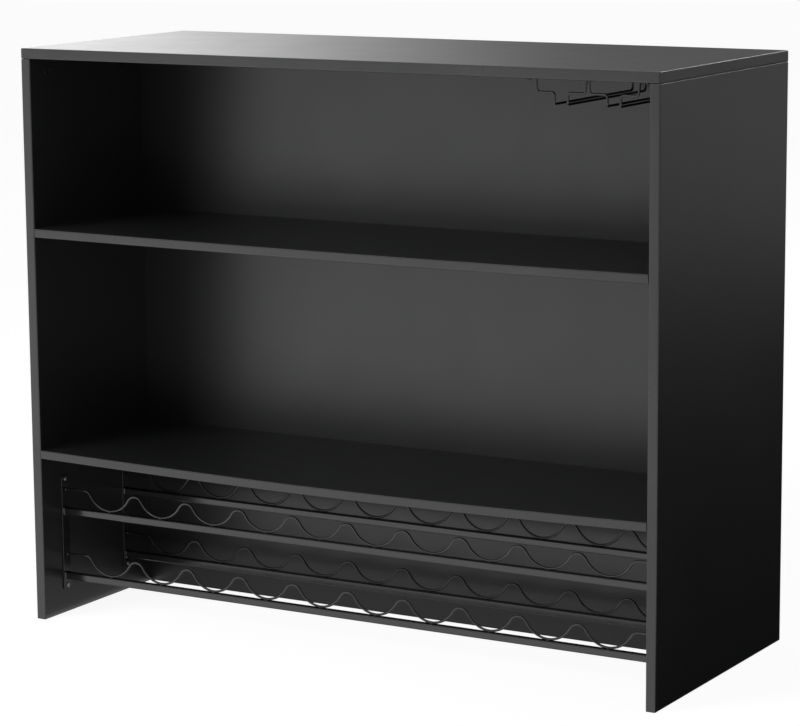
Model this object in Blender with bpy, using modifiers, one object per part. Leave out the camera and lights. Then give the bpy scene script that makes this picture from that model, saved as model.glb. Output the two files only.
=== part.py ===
"""Bar cabinet: board carcass with two shelves, a two tier wine rack and a stemware rack.

The bartender's open side faces -Y and the guest side +Y. The origin is on the floor, under the middle.
"""

import math

import bmesh
import bpy
from mathutils import Matrix, Vector

# Carcass, in metres
WIDTH = 1.200
TOP_THICKNESS = 0.018
SIDE_THICKNESS = 0.018
SHELF_THICKNESS = 0.015
INNER_BACK_THICKNESS = 0.015
GUEST_PANEL_THICKNESS = 0.016
BAY_DEPTH = 0.325  # front edges to the inner back panel
GUEST_VOID_DEPTH = 0.131  # inner back panel to the guest panel
GUEST_INSET = 0.003  # rear edges to the guest panel
MIDDLE_BAY_HEIGHT = 0.373
UPPER_BAY_HEIGHT = 0.291
EDGE_RADIUS = 0.002
BACK_GROOVE_DEPTH = 0.006
CLEARANCE = 0.0003

# Wine rack
LOWER_RAIL_HEIGHT = 0.0665  # floor to rail axis
TIER_SPACING = 0.117
RACK_HEADROOM = 0.1045  # upper rail axis to the lower shelf
FRONT_ROW_SETBACK = 0.065  # front edges to the front row
REAR_ROW_SETBACK = 0.077  # rear row to the inner back panel
RAIL_SIZE = 0.012  # square tube
RAIL_WALL = 0.001
RAIL_CORNER_RADIUS = 0.002
WIRE_DIAMETER = 0.004
BOTTLE_PITCH = 0.1078
CRADLE_DEPTH = 0.031
CREST_RADIUS = 0.0164
SHORTEST_WIRE_END = 0.020  # straight end of a wave wire beside its strip
STRIP_WIDTH = 0.020
STRIP_THICKNESS = 0.002
STRIP_BELOW_RAIL = 0.0245
STRIP_ABOVE_RAIL = 0.0645
STRIP_SCREW_INSET = 0.007

# Stemware rack
STEM_SLOT = 0.023  # between the two rail axes of a slot
STEM_CHANNEL_PITCH = 0.0906  # between the middles of the two slots
STEM_SHOULDER = 0.0303  # outer rail to its riser
STEM_SPLAY = 0.002  # foot of a riser beyond its shoulder
STEM_MIDDLE_SPACING = 0.0046  # between the feet of the two middle risers
STEM_SIDE_GAP = 0.0318  # outer riser to the right side panel
STEM_DROP = 0.0405  # top panel to rail axis
STEM_SHOULDER_DROP = 0.0226
STEM_FRONT_SETBACK = 0.029
STEM_REAR_SETBACK = 0.021
STEM_BEND_RADIUS = 0.005
BEND_SHARE = 0.45  # of a straight run, at most
FOOT_THICKNESS = 0.0015
FOOT_WIDTH = 0.010
FOOT_SCREW_OFFSET = 0.013  # riser to screw

# Fasteners
SCREW_DIAMETER = 0.0035
SCREW_EMBED = 0.010
SCREW_HEAD_DIAMETER = 0.007
SCREW_HEAD_HEIGHT = 0.0022
SCREW_HEAD_ROUND = 0.0009
CAM_DIAMETER = 0.015
CAM_SETBACK = 0.024  # board end to cam axis
CAM_COVER = 0.0035  # board left over the cam
CAM_SLOT_LENGTH = 0.010
CAM_SLOT_WIDTH = 0.0012
CAM_SLOT_DEPTH = 0.0025
BOLT_DIAMETER = 0.006
BOLT_NECK_DIAMETER = 0.004
BOLT_THREAD_DIAMETER = 0.005
BOLT_THREAD_LENGTH = 0.011
FITTING_FRONT_INSET = 0.050
FITTING_REAR_INSET = 0.060
DOWEL_DIAMETER = 0.008
DOWEL_SHORT_END = 0.009
DOWEL_LONG_END = 0.019
DOWEL_CHAMFER = 0.001
GUEST_DOWEL_INSET = 0.150

# Facets
BORE_SIDES = 12
RAIL_CORNER_SEGMENTS = 3
TURNED_STEPS = 8
CREST_POINTS = (-1 / 2, 0, 1 / 2)  # shares of a wave wire's swing
CRADLE_POINTS = (-2 / 3, -1 / 3, 0, 1 / 3, 2 / 3)
BEND_STEPS = 2
EDGE_SEGMENTS = 2
FOOT_SEGMENTS = 3
SHARP_ANGLE = math.radians(35)
MERGE_DISTANCE = 0.00001

# Places that follow from the sizes
DEPTH = BAY_DEPTH + INNER_BACK_THICKNESS + GUEST_VOID_DEPTH + GUEST_PANEL_THICKNESS + GUEST_INSET
FRONT_Y = -DEPTH / 2
INNER_BACK_Y = FRONT_Y + BAY_DEPTH
REAR_Y = DEPTH / 2
GUEST_MIDDLE_Y = REAR_Y - GUEST_INSET - GUEST_PANEL_THICKNESS / 2
INNER_X = WIDTH / 2 - SIDE_THICKNESS
UPPER_RAIL_HEIGHT = LOWER_RAIL_HEIGHT + TIER_SPACING
LOWER_SHELF_TOP = UPPER_RAIL_HEIGHT + RACK_HEADROOM + SHELF_THICKNESS
UPPER_SHELF_TOP = LOWER_SHELF_TOP + MIDDLE_BAY_HEIGHT + SHELF_THICKNESS
TOP_UNDERSIDE = UPPER_SHELF_TOP + UPPER_BAY_HEIGHT
HEIGHT = TOP_UNDERSIDE + TOP_THICKNESS
SIDE_TOP = TOP_UNDERSIDE - CLEARANCE
ROW_Y = {"front": FRONT_Y + FRONT_ROW_SETBACK, "rear": INNER_BACK_Y - REAR_ROW_SETBACK}
RAIL_Z = {"lower": LOWER_RAIL_HEIGHT, "upper": UPPER_RAIL_HEIGHT}
STRIP_FACE_X = INNER_X - CLEARANCE - STRIP_THICKNESS
STRIP_BOTTOM = LOWER_RAIL_HEIGHT - STRIP_BELOW_RAIL
STRIP_TOP = UPPER_RAIL_HEIGHT + STRIP_ABOVE_RAIL
FITTING_Y = {"front": FRONT_Y + FITTING_FRONT_INSET, "rear": INNER_BACK_Y - FITTING_REAR_INSET}
STEM_OUTER_RAIL = STEM_CHANNEL_PITCH / 2 + STEM_SLOT / 2
STEM_INNER_RAIL = STEM_CHANNEL_PITCH / 2 - STEM_SLOT / 2
STEM_OUTER_RISER = STEM_OUTER_RAIL + STEM_SHOULDER
STEM_X = INNER_X - STEM_SIDE_GAP - STEM_OUTER_RISER
STEM_FRONT_Y = FRONT_Y + STEM_FRONT_SETBACK
STEM_REAR_Y = INNER_BACK_Y - STEM_REAR_SETBACK
SIDES = {"left": -1, "right": 1}


def clear_scene():
    """Removes what the file already holds."""
    for old in list(bpy.data.objects):
        bpy.data.objects.remove(old, do_unlink=True)


def new_collection(name):
    """Adds a collection to the scene."""
    collection = bpy.data.collections.new(name)
    bpy.context.scene.collection.children.link(collection)
    return collection


def principled(name, colour, roughness, metallic):
    """A plain material for one kind of piece."""
    material = bpy.data.materials.new(name)
    material.use_nodes = True
    shader = material.node_tree.nodes["Principled BSDF"]
    shader.inputs["Base Color"].default_value = (*colour, 1.0)
    shader.inputs["Roughness"].default_value = roughness
    shader.inputs["Metallic"].default_value = metallic
    return material


clear_scene()
PARTS = new_collection("bar_cabinet")
CUTTERS = new_collection("cutters")
BLACK_BOARD = principled("black_board", (0.012, 0.012, 0.013), 0.38, 0.0)
BLACK_WIRE = principled("black_wire", (0.015, 0.015, 0.016), 0.30, 0.6)
BRIGHT_SCREW = principled("bright_screw", (0.55, 0.55, 0.56), 0.35, 1.0)
ZINC_FITTING = principled("zinc_fitting", (0.50, 0.50, 0.48), 0.45, 1.0)
BEECH_DOWEL = principled("beech_dowel", (0.62, 0.43, 0.26), 0.70, 0.0)


def group_empty(name, parent=None):
    """An empty that carries one sub-assembly."""
    empty = bpy.data.objects.new(name, None)
    empty.parent = parent
    PARTS.objects.link(empty)
    return empty


CABINET = group_empty("cabinet")
CARCASS = group_empty("carcass", CABINET)
WINE_RACK = group_empty("wine_rack", CABINET)
STEM_RACK = group_empty("stemware_rack", CABINET)
FITTINGS = group_empty("fittings", CABINET)


def add_part(name, data, parent, material):
    """Links a named piece under its sub-assembly."""
    part = bpy.data.objects.new(name, data)
    part.parent = parent
    data.materials.append(material)
    PARTS.objects.link(part)
    return part


def add_cutter(name, mesh):
    """Links a helper shape that only cuts or joins."""
    cutter = bpy.data.objects.new(name, mesh)
    cutter.display_type = "WIRE"
    cutter.hide_render = True
    CUTTERS.objects.link(cutter)
    return cutter


def mesh_of(name, bm):
    """Turns a bmesh into a mesh."""
    mesh = bpy.data.meshes.new(name)
    bm.to_mesh(mesh)
    bm.free()
    return mesh


def smooth(mesh):
    """Round pieces are shaded smooth, with sharp rims."""
    mesh.shade_smooth()
    mesh.set_sharp_from_angle(angle=SHARP_ANGLE)


def aim(piece, place, direction):
    """Puts a piece at a place with its own +Z along a direction."""
    piece.location = place
    piece.rotation_euler = Vector(direction).to_track_quat("Z", "Y").to_euler()


def boolean(piece, other, operation):
    """Adds a Boolean modifier."""
    modifier = piece.modifiers.new(operation.lower(), "BOOLEAN")
    modifier.operation = operation
    modifier.object = other
    modifier.solver = "EXACT"


def box_bmesh(low, high):
    """A closed box between two corners, about its own middle."""
    size = Vector(high) - Vector(low)
    bm = bmesh.new()
    bmesh.ops.create_cube(bm, size=1.0, matrix=Matrix.Diagonal((*size, 1.0)))
    return bm


def board(name, low, high, rounded):
    """A board between two corners. rounded picks the edges with a radius by their middle, from -1 to 1."""
    bm = box_bmesh(low, high)
    half = (Vector(high) - Vector(low)) / 2
    weight = bm.edges.layers.float.new("bevel_weight_edge")
    for edge in bm.edges:
        middle = (edge.verts[0].co + edge.verts[1].co) / 2
        side = [round(middle[i] / half[i]) for i in range(3)]
        edge[weight] = 1.0 if rounded(*side) else 0.0
    part = add_part(name, mesh_of(name, bm), CARCASS, BLACK_BOARD)
    part.location = (Vector(low) + Vector(high)) / 2
    bevel = part.modifiers.new("edge_radius", "BEVEL")
    bevel.limit_method = "WEIGHT"
    bevel.width = EDGE_RADIUS
    bevel.segments = EDGE_SEGMENTS
    return part


def add_bore(bm, mouth, direction, depth, diameter):
    """Adds a drill shape that enters at its mouth and starts a little outside the board."""
    start = Vector(mouth) - Vector(direction) * CLEARANCE
    end = Vector(mouth) + Vector(direction) * depth
    turn = Vector(direction).to_track_quat("Z", "Y").to_matrix().to_4x4()
    bmesh.ops.create_cone(
        bm,
        cap_ends=True,
        segments=BORE_SIDES,
        radius1=diameter / 2 + CLEARANCE,
        radius2=diameter / 2 + CLEARANCE,
        depth=(end - start).length,
        matrix=Matrix.Translation((start + end) / 2) @ turn,
    )


def drill(part, holes, label):
    """Cuts a list of (mouth, direction, depth, diameter) out of a piece."""
    bm = bmesh.new()
    for hole in holes:
        add_bore(bm, *hole)
    name = part.name + "_" + label
    boolean(part, add_cutter(name, mesh_of(name, bm)), "DIFFERENCE")


def turned(name, profile, parent, material):
    """A turned piece from (radius, height) points that run from its top to its bottom."""
    mesh = bpy.data.meshes.new(name)
    points = [(radius, 0.0, height) for radius, height in profile]
    edges = [(i, i + 1) for i in range(len(points) - 1)]
    mesh.from_pydata(points, edges, [])
    part = add_part(name, mesh, parent, material)
    screw = part.modifiers.new("turn", "SCREW")
    screw.axis = "Z"
    screw.steps = TURNED_STEPS
    screw.render_steps = TURNED_STEPS
    screw.use_merge_vertices = True
    screw.merge_threshold = MERGE_DISTANCE
    screw.use_smooth_shade = True
    return part


def wire_curve(name, points, diameter):
    """A round wire along a list of points."""
    curve = bpy.data.curves.new(name, "CURVE")
    curve.dimensions = "3D"
    curve.bevel_depth = diameter / 2
    curve.bevel_resolution = 2
    curve.use_fill_caps = True
    spline = curve.splines.new("POLY")
    spline.points.add(len(points) - 1)
    for point, place in zip(spline.points, points):
        point.co = (*place, 1.0)
        point.radius = 1.0
    return curve


def rounded_path(corners, radius):
    """Points along straight runs whose corners are arcs, limited by the shorter run."""
    path = [Vector(corners[0])]
    for before, corner, after in zip(corners, corners[1:], corners[2:]):
        corner = Vector(corner)
        back = Vector(before) - corner
        ahead = Vector(after) - corner
        half_angle = back.angle(ahead) / 2
        shorter = min(back.length, ahead.length)
        reach = min(radius / math.tan(half_angle), shorter * BEND_SHARE)
        arc_radius = reach * math.tan(half_angle)
        middle = (back.normalized() + ahead.normalized()).normalized()
        centre = corner + middle * (arc_radius / math.sin(half_angle))
        start = corner + back.normalized() * reach - centre
        end = corner + ahead.normalized() * reach - centre
        sweep = start.angle(end)
        for step in range(BEND_STEPS + 1):
            t = step / BEND_STEPS
            turn = math.sin((1 - t) * sweep) * start + math.sin(t * sweep) * end
            path.append(centre + turn / math.sin(sweep))
    path.append(Vector(corners[-1]))
    return path


def build_top():
    """The counter top, laid over the sides, with the holes for its cam bolts and hanger screws."""
    low = (-WIDTH / 2, FRONT_Y, TOP_UNDERSIDE)
    high = (WIDTH / 2, REAR_Y, HEIGHT)
    top = board("top_panel", low, high, lambda x, y, z: True)
    holes = []
    for sign in SIDES.values():
        for y in FITTING_Y.values():
            mouth = (sign * (WIDTH / 2 - SIDE_THICKNESS / 2), y, TOP_UNDERSIDE)
            holes.append((mouth, (0, 0, 1), BOLT_THREAD_LENGTH + CLEARANCE, BOLT_THREAD_DIAMETER))
    for place in hanger_screw_places().values():
        mouth = (place[0], place[1], TOP_UNDERSIDE)
        holes.append((mouth, (0, 0, 1), SCREW_EMBED + CLEARANCE, SCREW_DIAMETER))
    drill(top, holes, "bores")


def build_sides():
    """The two side panels with the back groove and the bores for every fitting."""
    for side, sign in SIDES.items():
        low = (min(sign * INNER_X, sign * WIDTH / 2), FRONT_Y, 0.0)
        high = (max(sign * INNER_X, sign * WIDTH / 2), REAR_Y, SIDE_TOP)
        panel = board(
            side + "_side_panel",
            low,
            high,
            lambda x, y, z, sign=sign: x == sign or (y != 0 and z == 0),
        )
        inward = Vector((-sign, 0, 0))
        outward = -inward
        face_x = sign * INNER_X
        middle_x = sign * (WIDTH / 2 - SIDE_THICKNESS / 2)
        bores = []
        channels = []
        for y in FITTING_Y.values():
            cam_mouth = (face_x, y, SIDE_TOP - CAM_SETBACK)
            bores.append((cam_mouth, outward, SIDE_THICKNESS - CAM_COVER + CLEARANCE, CAM_DIAMETER))
            channels.append(((middle_x, y, SIDE_TOP), (0, 0, -1), CAM_SETBACK, BOLT_DIAMETER))
            shelf_bolt = (face_x, y, LOWER_SHELF_TOP - SHELF_THICKNESS / 2)
            bores.append((shelf_bolt, outward, BOLT_THREAD_LENGTH + CLEARANCE, BOLT_THREAD_DIAMETER))
            shelf_dowel = (face_x, y, UPPER_SHELF_TOP - SHELF_THICKNESS / 2)
            bores.append((shelf_dowel, outward, DOWEL_SHORT_END + CLEARANCE, DOWEL_DIAMETER))
        for z in guest_dowel_heights():
            guest_dowel = (face_x, GUEST_MIDDLE_Y, z)
            bores.append((guest_dowel, outward, DOWEL_SHORT_END + CLEARANCE, DOWEL_DIAMETER))
        for y in ROW_Y.values():
            for z in strip_screw_heights():
                bores.append(((face_x, y, z), outward, SCREW_EMBED + CLEARANCE, SCREW_DIAMETER))
        drill(panel, bores, "bores")
        drill(panel, channels, "channels")
        groove_low = Vector((0, INNER_BACK_Y - CLEARANCE, -CLEARANCE))
        groove_high = Vector((0, INNER_BACK_Y + INNER_BACK_THICKNESS + CLEARANCE, SIDE_TOP + CLEARANCE))
        groove_x = sorted((face_x - sign * CLEARANCE, face_x + sign * BACK_GROOVE_DEPTH))
        groove_low.x, groove_high.x = groove_x
        name = panel.name + "_groove"
        groove = add_cutter(name, mesh_of(name, box_bmesh(groove_low, groove_high)))
        groove.location = (groove_low + groove_high) / 2
        boolean(panel, groove, "DIFFERENCE")


def build_backs():
    """The inner back panel in the side grooves, and the guest panel on dowels between the sides."""
    reach = INNER_X + BACK_GROOVE_DEPTH - CLEARANCE
    low = (-reach, INNER_BACK_Y, 0.0)
    high = (reach, INNER_BACK_Y + INNER_BACK_THICKNESS, SIDE_TOP)
    board("inner_back_panel", low, high, lambda x, y, z: False)
    end = INNER_X - CLEARANCE
    low = (-end, GUEST_MIDDLE_Y - GUEST_PANEL_THICKNESS / 2, 0.0)
    high = (end, GUEST_MIDDLE_Y + GUEST_PANEL_THICKNESS / 2, SIDE_TOP)
    guest = board("guest_panel", low, high, lambda x, y, z: False)
    holes = []
    for sign in SIDES.values():
        for z in guest_dowel_heights():
            mouth = (sign * end, GUEST_MIDDLE_Y, z)
            holes.append((mouth, (-sign, 0, 0), DOWEL_LONG_END + CLEARANCE, DOWEL_DIAMETER))
    drill(guest, holes, "bores")


def build_shelves():
    """Two shelves between the sides, the lower one bored for cams and the upper one for dowels."""
    for name, top in (("lower_shelf", LOWER_SHELF_TOP), ("upper_shelf", UPPER_SHELF_TOP)):
        end = INNER_X - CLEARANCE
        low = (-end, FRONT_Y, top - SHELF_THICKNESS)
        high = (end, INNER_BACK_Y - CLEARANCE, top)
        shelf = board(name, low, high, lambda x, y, z: y == -1 and x == 0)
        bores = []
        channels = []
        for sign in SIDES.values():
            for y in FITTING_Y.values():
                mouth = Vector((sign * end, y, top - SHELF_THICKNESS / 2))
                inward = (-sign, 0, 0)
                if name == "upper_shelf":
                    channels.append((mouth, inward, DOWEL_LONG_END + CLEARANCE, DOWEL_DIAMETER))
                else:
                    channels.append((mouth, inward, CAM_SETBACK, BOLT_DIAMETER))
                    cam_mouth = mouth + Vector((-sign * CAM_SETBACK, 0, -SHELF_THICKNESS / 2))
                    cam_depth = SHELF_THICKNESS - CAM_COVER + CLEARANCE
                    bores.append((cam_mouth, (0, 0, 1), cam_depth, CAM_DIAMETER))
        if bores:
            drill(shelf, bores, "bores")
        drill(shelf, channels, "channels")


def guest_dowel_heights():
    """Heights of the dowels between a side and the guest panel."""
    return (GUEST_DOWEL_INSET, HEIGHT - GUEST_DOWEL_INSET)


def strip_screw_heights():
    """Heights of the screws in a rack strip."""
    return (STRIP_BOTTOM + STRIP_SCREW_INSET, STRIP_TOP - STRIP_SCREW_INSET)


def build_cam(name, place, to_bolt, outward, thickness):
    """A cam disc in its bore: an open face with a cross slot, and a channel that takes the bolt's head."""
    height = thickness - CAM_COVER
    flat_to_bolt = Matrix.Rotation(math.pi / BORE_SIDES, 4, "Z")
    bm = bmesh.new()
    bmesh.ops.create_cone(
        bm,
        cap_ends=True,
        segments=BORE_SIDES,
        radius1=CAM_DIAMETER / 2,
        radius2=CAM_DIAMETER / 2,
        depth=height,
        matrix=Matrix.Translation((0, 0, -height / 2)) @ flat_to_bolt,
    )
    mesh = mesh_of(name, bm)
    smooth(mesh)
    cam = add_part(name, mesh, FITTINGS, ZINC_FITTING)
    z_axis = Vector(outward)
    x_axis = Vector(to_bolt)
    turn = Matrix((x_axis, z_axis.cross(x_axis), z_axis)).transposed()
    cam.matrix_world = Matrix.Translation(place) @ turn.to_4x4()
    channel = bmesh.new()
    channel_mouth = (CAM_DIAMETER / 2 + CLEARANCE, 0, -thickness / 2)
    add_bore(channel, channel_mouth, (-1, 0, 0), CAM_DIAMETER / 2 + BOLT_DIAMETER, BOLT_DIAMETER)
    slot_half = Vector((CAM_SLOT_LENGTH / 2, CAM_SLOT_WIDTH / 2, CAM_SLOT_DEPTH))
    for label, shape in (("channel", channel), ("slot", box_bmesh(-slot_half, slot_half))):
        cutter = add_cutter(name + "_" + label, mesh_of(name + "_" + label, shape))
        cutter.matrix_world = cam.matrix_world.copy()
        boolean(cam, cutter, "DIFFERENCE")


def build_bolt(name, place, direction):
    """A cam bolt: its thread in one board and its shaft, neck and head along the other."""
    shaft = BOLT_DIAMETER / 2
    neck = BOLT_NECK_DIAMETER / 2
    thread = BOLT_THREAD_DIAMETER / 2
    cam_rim = CAM_SETBACK - CAM_DIAMETER / 2
    profile = (
        (0.0, CAM_SETBACK + shaft),
        (shaft, CAM_SETBACK + shaft / 2),
        (shaft, CAM_SETBACK - shaft / 2),
        (neck, CAM_SETBACK - shaft),
        (neck, cam_rim),
        (shaft, cam_rim - (shaft - neck)),
        (shaft, CLEARANCE),
        (thread, CLEARANCE),
        (thread, thread - BOLT_THREAD_LENGTH),
        (0.0, -BOLT_THREAD_LENGTH),
    )
    aim(turned(name, profile, FITTINGS, ZINC_FITTING), place, direction)


def build_dowel(name, place, direction):
    """A chamfered dowel whose short end is behind the joint and long end ahead of it."""
    radius = DOWEL_DIAMETER / 2
    profile = (
        (0.0, DOWEL_LONG_END),
        (radius - DOWEL_CHAMFER, DOWEL_LONG_END),
        (radius, DOWEL_LONG_END - DOWEL_CHAMFER),
        (radius, DOWEL_CHAMFER - DOWEL_SHORT_END),
        (radius - DOWEL_CHAMFER, -DOWEL_SHORT_END),
        (0.0, -DOWEL_SHORT_END),
    )
    aim(turned(name, profile, FITTINGS, BEECH_DOWEL), place, direction)


def build_screw(name, seat, direction, plate, parent, material):
    """A pan head screw. seat is on the outer face of the plate that it holds, direction points out of it."""
    head = SCREW_HEAD_DIAMETER / 2
    shank = SCREW_DIAMETER / 2
    profile = (
        (0.0, CLEARANCE + SCREW_HEAD_HEIGHT),
        (head - SCREW_HEAD_ROUND, CLEARANCE + SCREW_HEAD_HEIGHT),
        (head, CLEARANCE + SCREW_HEAD_HEIGHT - SCREW_HEAD_ROUND),
        (head, CLEARANCE),
        (shank, CLEARANCE),
        (shank, shank - plate - SCREW_EMBED),
        (0.0, -plate - SCREW_EMBED),
    )
    aim(turned(name, profile, parent, material), seat, direction)


def build_fittings():
    """Cams and bolts under the top and in the lower shelf, and dowels for the upper shelf and guest panel."""
    for side, sign in SIDES.items():
        inward = Vector((-sign, 0, 0))
        middle_x = sign * (WIDTH / 2 - SIDE_THICKNESS / 2)
        for row, y in FITTING_Y.items():
            label = row + "_" + side
            cam_place = (sign * INNER_X, y, SIDE_TOP - CAM_SETBACK)
            build_cam("top_cam_" + label, cam_place, (0, 0, 1), inward, SIDE_THICKNESS)
            build_bolt("top_bolt_" + label, (middle_x, y, TOP_UNDERSIDE), (0, 0, -1))
            shelf_middle = LOWER_SHELF_TOP - SHELF_THICKNESS / 2
            shelf_end = INNER_X - CLEARANCE
            cam_place = (sign * (shelf_end - CAM_SETBACK), y, LOWER_SHELF_TOP - SHELF_THICKNESS)
            build_cam("shelf_cam_" + label, cam_place, (sign, 0, 0), (0, 0, -1), SHELF_THICKNESS)
            build_bolt("shelf_bolt_" + label, (sign * INNER_X, y, shelf_middle), inward)
            dowel_place = (sign * INNER_X, y, UPPER_SHELF_TOP - SHELF_THICKNESS / 2)
            build_dowel("shelf_dowel_" + label, dowel_place, inward)
        for level, z in zip(("lower", "upper"), guest_dowel_heights()):
            place = (sign * INNER_X, GUEST_MIDDLE_Y, z)
            build_dowel("guest_dowel_" + level + "_" + side, place, inward)


def build_strips():
    """Upright strips screwed to the sides, which carry the rails and wave wires."""
    for row, y in ROW_Y.items():
        for side, sign in SIDES.items():
            name = row + "_" + side + "_rack_strip"
            face_x = sign * STRIP_FACE_X
            back_x = sign * (INNER_X - CLEARANCE)
            low = Vector((min(face_x, back_x), y - STRIP_WIDTH / 2, STRIP_BOTTOM))
            high = Vector((max(face_x, back_x), y + STRIP_WIDTH / 2, STRIP_TOP))
            strip = add_part(name, mesh_of(name, box_bmesh(low, high)), WINE_RACK, BLACK_WIRE)
            strip.location = (low + high) / 2
            holes = []
            for level, z in zip(("lower", "upper"), strip_screw_heights()):
                seat = (face_x, y, z)
                plate = STRIP_THICKNESS + CLEARANCE
                holes.append((seat, (sign, 0, 0), plate, SCREW_DIAMETER))
                screw_name = "_".join((row, side, level, "strip_screw"))
                build_screw(screw_name, seat, (-sign, 0, 0), plate, WINE_RACK, BRIGHT_SCREW)
            drill(strip, holes, "bores")


def build_rails():
    """Square tube rails with rounded corners and open ends, between facing strips."""
    half = Vector((RAIL_SIZE / 2, RAIL_SIZE / 2, STRIP_FACE_X - CLEARANCE))
    for tier, z in RAIL_Z.items():
        for row, y in ROW_Y.items():
            name = tier + "_" + row + "_rail"
            bm = box_bmesh(-half, half)
            bmesh.ops.bevel(
                bm,
                geom=[e for e in bm.edges if abs(e.verts[0].co.z - e.verts[1].co.z) > half.z],
                offset=RAIL_CORNER_RADIUS,
                segments=RAIL_CORNER_SEGMENTS,
                profile=0.5,
                affect="EDGES",
            )
            ends = [face for face in bm.faces if abs(face.calc_center_median().z) > half.z / 2]
            bmesh.ops.delete(bm, geom=ends, context="FACES")
            mesh = mesh_of(name, bm)
            smooth(mesh)
            rail = add_part(name, mesh, WINE_RACK, BLACK_WIRE)
            wall = rail.modifiers.new("wall", "SOLIDIFY")
            wall.thickness = RAIL_WALL
            wall.offset = -1.0
            wall.use_even_offset = True
            aim(rail, (0, y, z), (1, 0, 0))


def wave_points():
    """Points of a wave wire about its lowest line: wide bottle cradles between narrow crests."""
    end = STRIP_FACE_X - CLEARANCE
    count = int((2 * end - 2 * SHORTEST_WIRE_END) / BOTTLE_PITCH)
    swing = 2 * math.atan(CRADLE_DEPTH / (BOTTLE_PITCH / 2))
    cradle_radius = BOTTLE_PITCH / 2 / math.sin(swing) - CREST_RADIUS
    points = [(-end, 0.0, CRADLE_DEPTH)]
    for index in range(count + 1):
        crest_x = (index - count / 2) * BOTTLE_PITCH
        for share in CREST_POINTS:
            if (index == 0 and share < 0) or (index == count and share > 0):
                continue
            x = crest_x + CREST_RADIUS * math.sin(share * swing)
            points.append((x, 0.0, CRADLE_DEPTH - CREST_RADIUS * (1 - math.cos(share * swing))))
        if index == count:
            break
        for share in CRADLE_POINTS:
            x = crest_x + BOTTLE_PITCH / 2 + cradle_radius * math.sin(share * swing)
            points.append((x, 0.0, cradle_radius * (1 - math.cos(share * swing))))
    points.append((end, 0.0, CRADLE_DEPTH))
    return points


def build_wave_wires():
    """One wave wire on each rail."""
    lift = RAIL_SIZE / 2 + CLEARANCE + WIRE_DIAMETER / 2
    for tier, z in RAIL_Z.items():
        for row, y in ROW_Y.items():
            name = tier + "_" + row + "_bottle_wire"
            wire = add_part(name, wire_curve(name, wave_points(), WIRE_DIAMETER), WINE_RACK, BLACK_WIRE)
            wire.location = (0, y, z + lift)


def hanger_screw_places():
    """Where each hanger foot is screwed to the top: outside the outer risers, between the middle ones."""
    outer = STEM_OUTER_RISER + STEM_SPLAY + FOOT_SCREW_OFFSET
    return {
        ("left", "front"): (STEM_X - outer, STEM_FRONT_Y),
        ("left", "rear"): (STEM_X - outer, STEM_REAR_Y),
        ("middle", "front"): (STEM_X, STEM_FRONT_Y + FOOT_SCREW_OFFSET),
        ("middle", "rear"): (STEM_X, STEM_REAR_Y - FOOT_SCREW_OFFSET),
        ("right", "front"): (STEM_X + outer, STEM_FRONT_Y),
        ("right", "rear"): (STEM_X + outer, STEM_REAR_Y),
    }


def splayed_foot(riser_x, rail_x):
    """Where a riser that leans away from its rail meets its foot."""
    return riser_x + math.copysign(STEM_SPLAY, riser_x - rail_x)


def hanger_wire(name, riser_x, rail_x):
    """A bent wire as a mesh: down, across and down to its rail, back along it and up again."""
    foot_z = TOP_UNDERSIDE - CLEARANCE - FOOT_THICKNESS / 2
    shoulder_z = TOP_UNDERSIDE - STEM_SHOULDER_DROP
    rail_z = TOP_UNDERSIDE - STEM_DROP
    front = [
        (splayed_foot(riser_x, rail_x), STEM_FRONT_Y, foot_z),
        (riser_x, STEM_FRONT_Y, shoulder_z),
        (rail_x, STEM_FRONT_Y, shoulder_z),
        (rail_x, STEM_FRONT_Y, rail_z),
    ]
    rear = [(x, STEM_REAR_Y, z) for x, _, z in reversed(front)]
    curve = wire_curve(name, rounded_path(front + rear, STEM_BEND_RADIUS), WIRE_DIAMETER)
    shape = bpy.data.objects.new(name, curve)
    CUTTERS.objects.link(shape)
    bpy.context.view_layer.update()
    evaluated = shape.evaluated_get(bpy.context.evaluated_depsgraph_get())
    mesh = bpy.data.meshes.new_from_object(evaluated)
    bpy.data.objects.remove(shape, do_unlink=True)
    bpy.data.curves.remove(curve)
    bm = bmesh.new()
    bm.from_mesh(mesh)
    bmesh.ops.remove_doubles(bm, verts=bm.verts, dist=MERGE_DISTANCE)
    bm.to_mesh(mesh)
    bm.free()
    mesh.name = name
    return mesh


def hanger_foot(name, riser, screw, plate):
    """A flat foot with round ends, from the riser to its screw, drilled for the screw."""
    along = Vector((screw[0] - riser[0], screw[1] - riser[1], 0))
    length = along.length + FOOT_WIDTH
    half = Vector((length, FOOT_WIDTH, FOOT_THICKNESS)) / 2
    bm = box_bmesh(-half, half)
    upright = [e for e in bm.edges if abs(e.verts[0].co.z - e.verts[1].co.z) > FOOT_THICKNESS / 2]
    bmesh.ops.bevel(
        bm,
        geom=upright,
        offset=FOOT_WIDTH / 2 - CLEARANCE,
        segments=FOOT_SEGMENTS,
        profile=0.5,
        affect="EDGES",
    )
    foot = add_cutter(name, mesh_of(name, bm))
    middle = (Vector(riser) + Vector(screw)) / 2
    foot.location = (*middle, TOP_UNDERSIDE - CLEARANCE - FOOT_THICKNESS / 2)
    foot.rotation_euler = (0, 0, math.atan2(along.y, along.x))
    drill(foot, [((*screw, TOP_UNDERSIDE), (0, 0, -1), plate + CLEARANCE, SCREW_DIAMETER)], "bore")
    return foot


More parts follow.
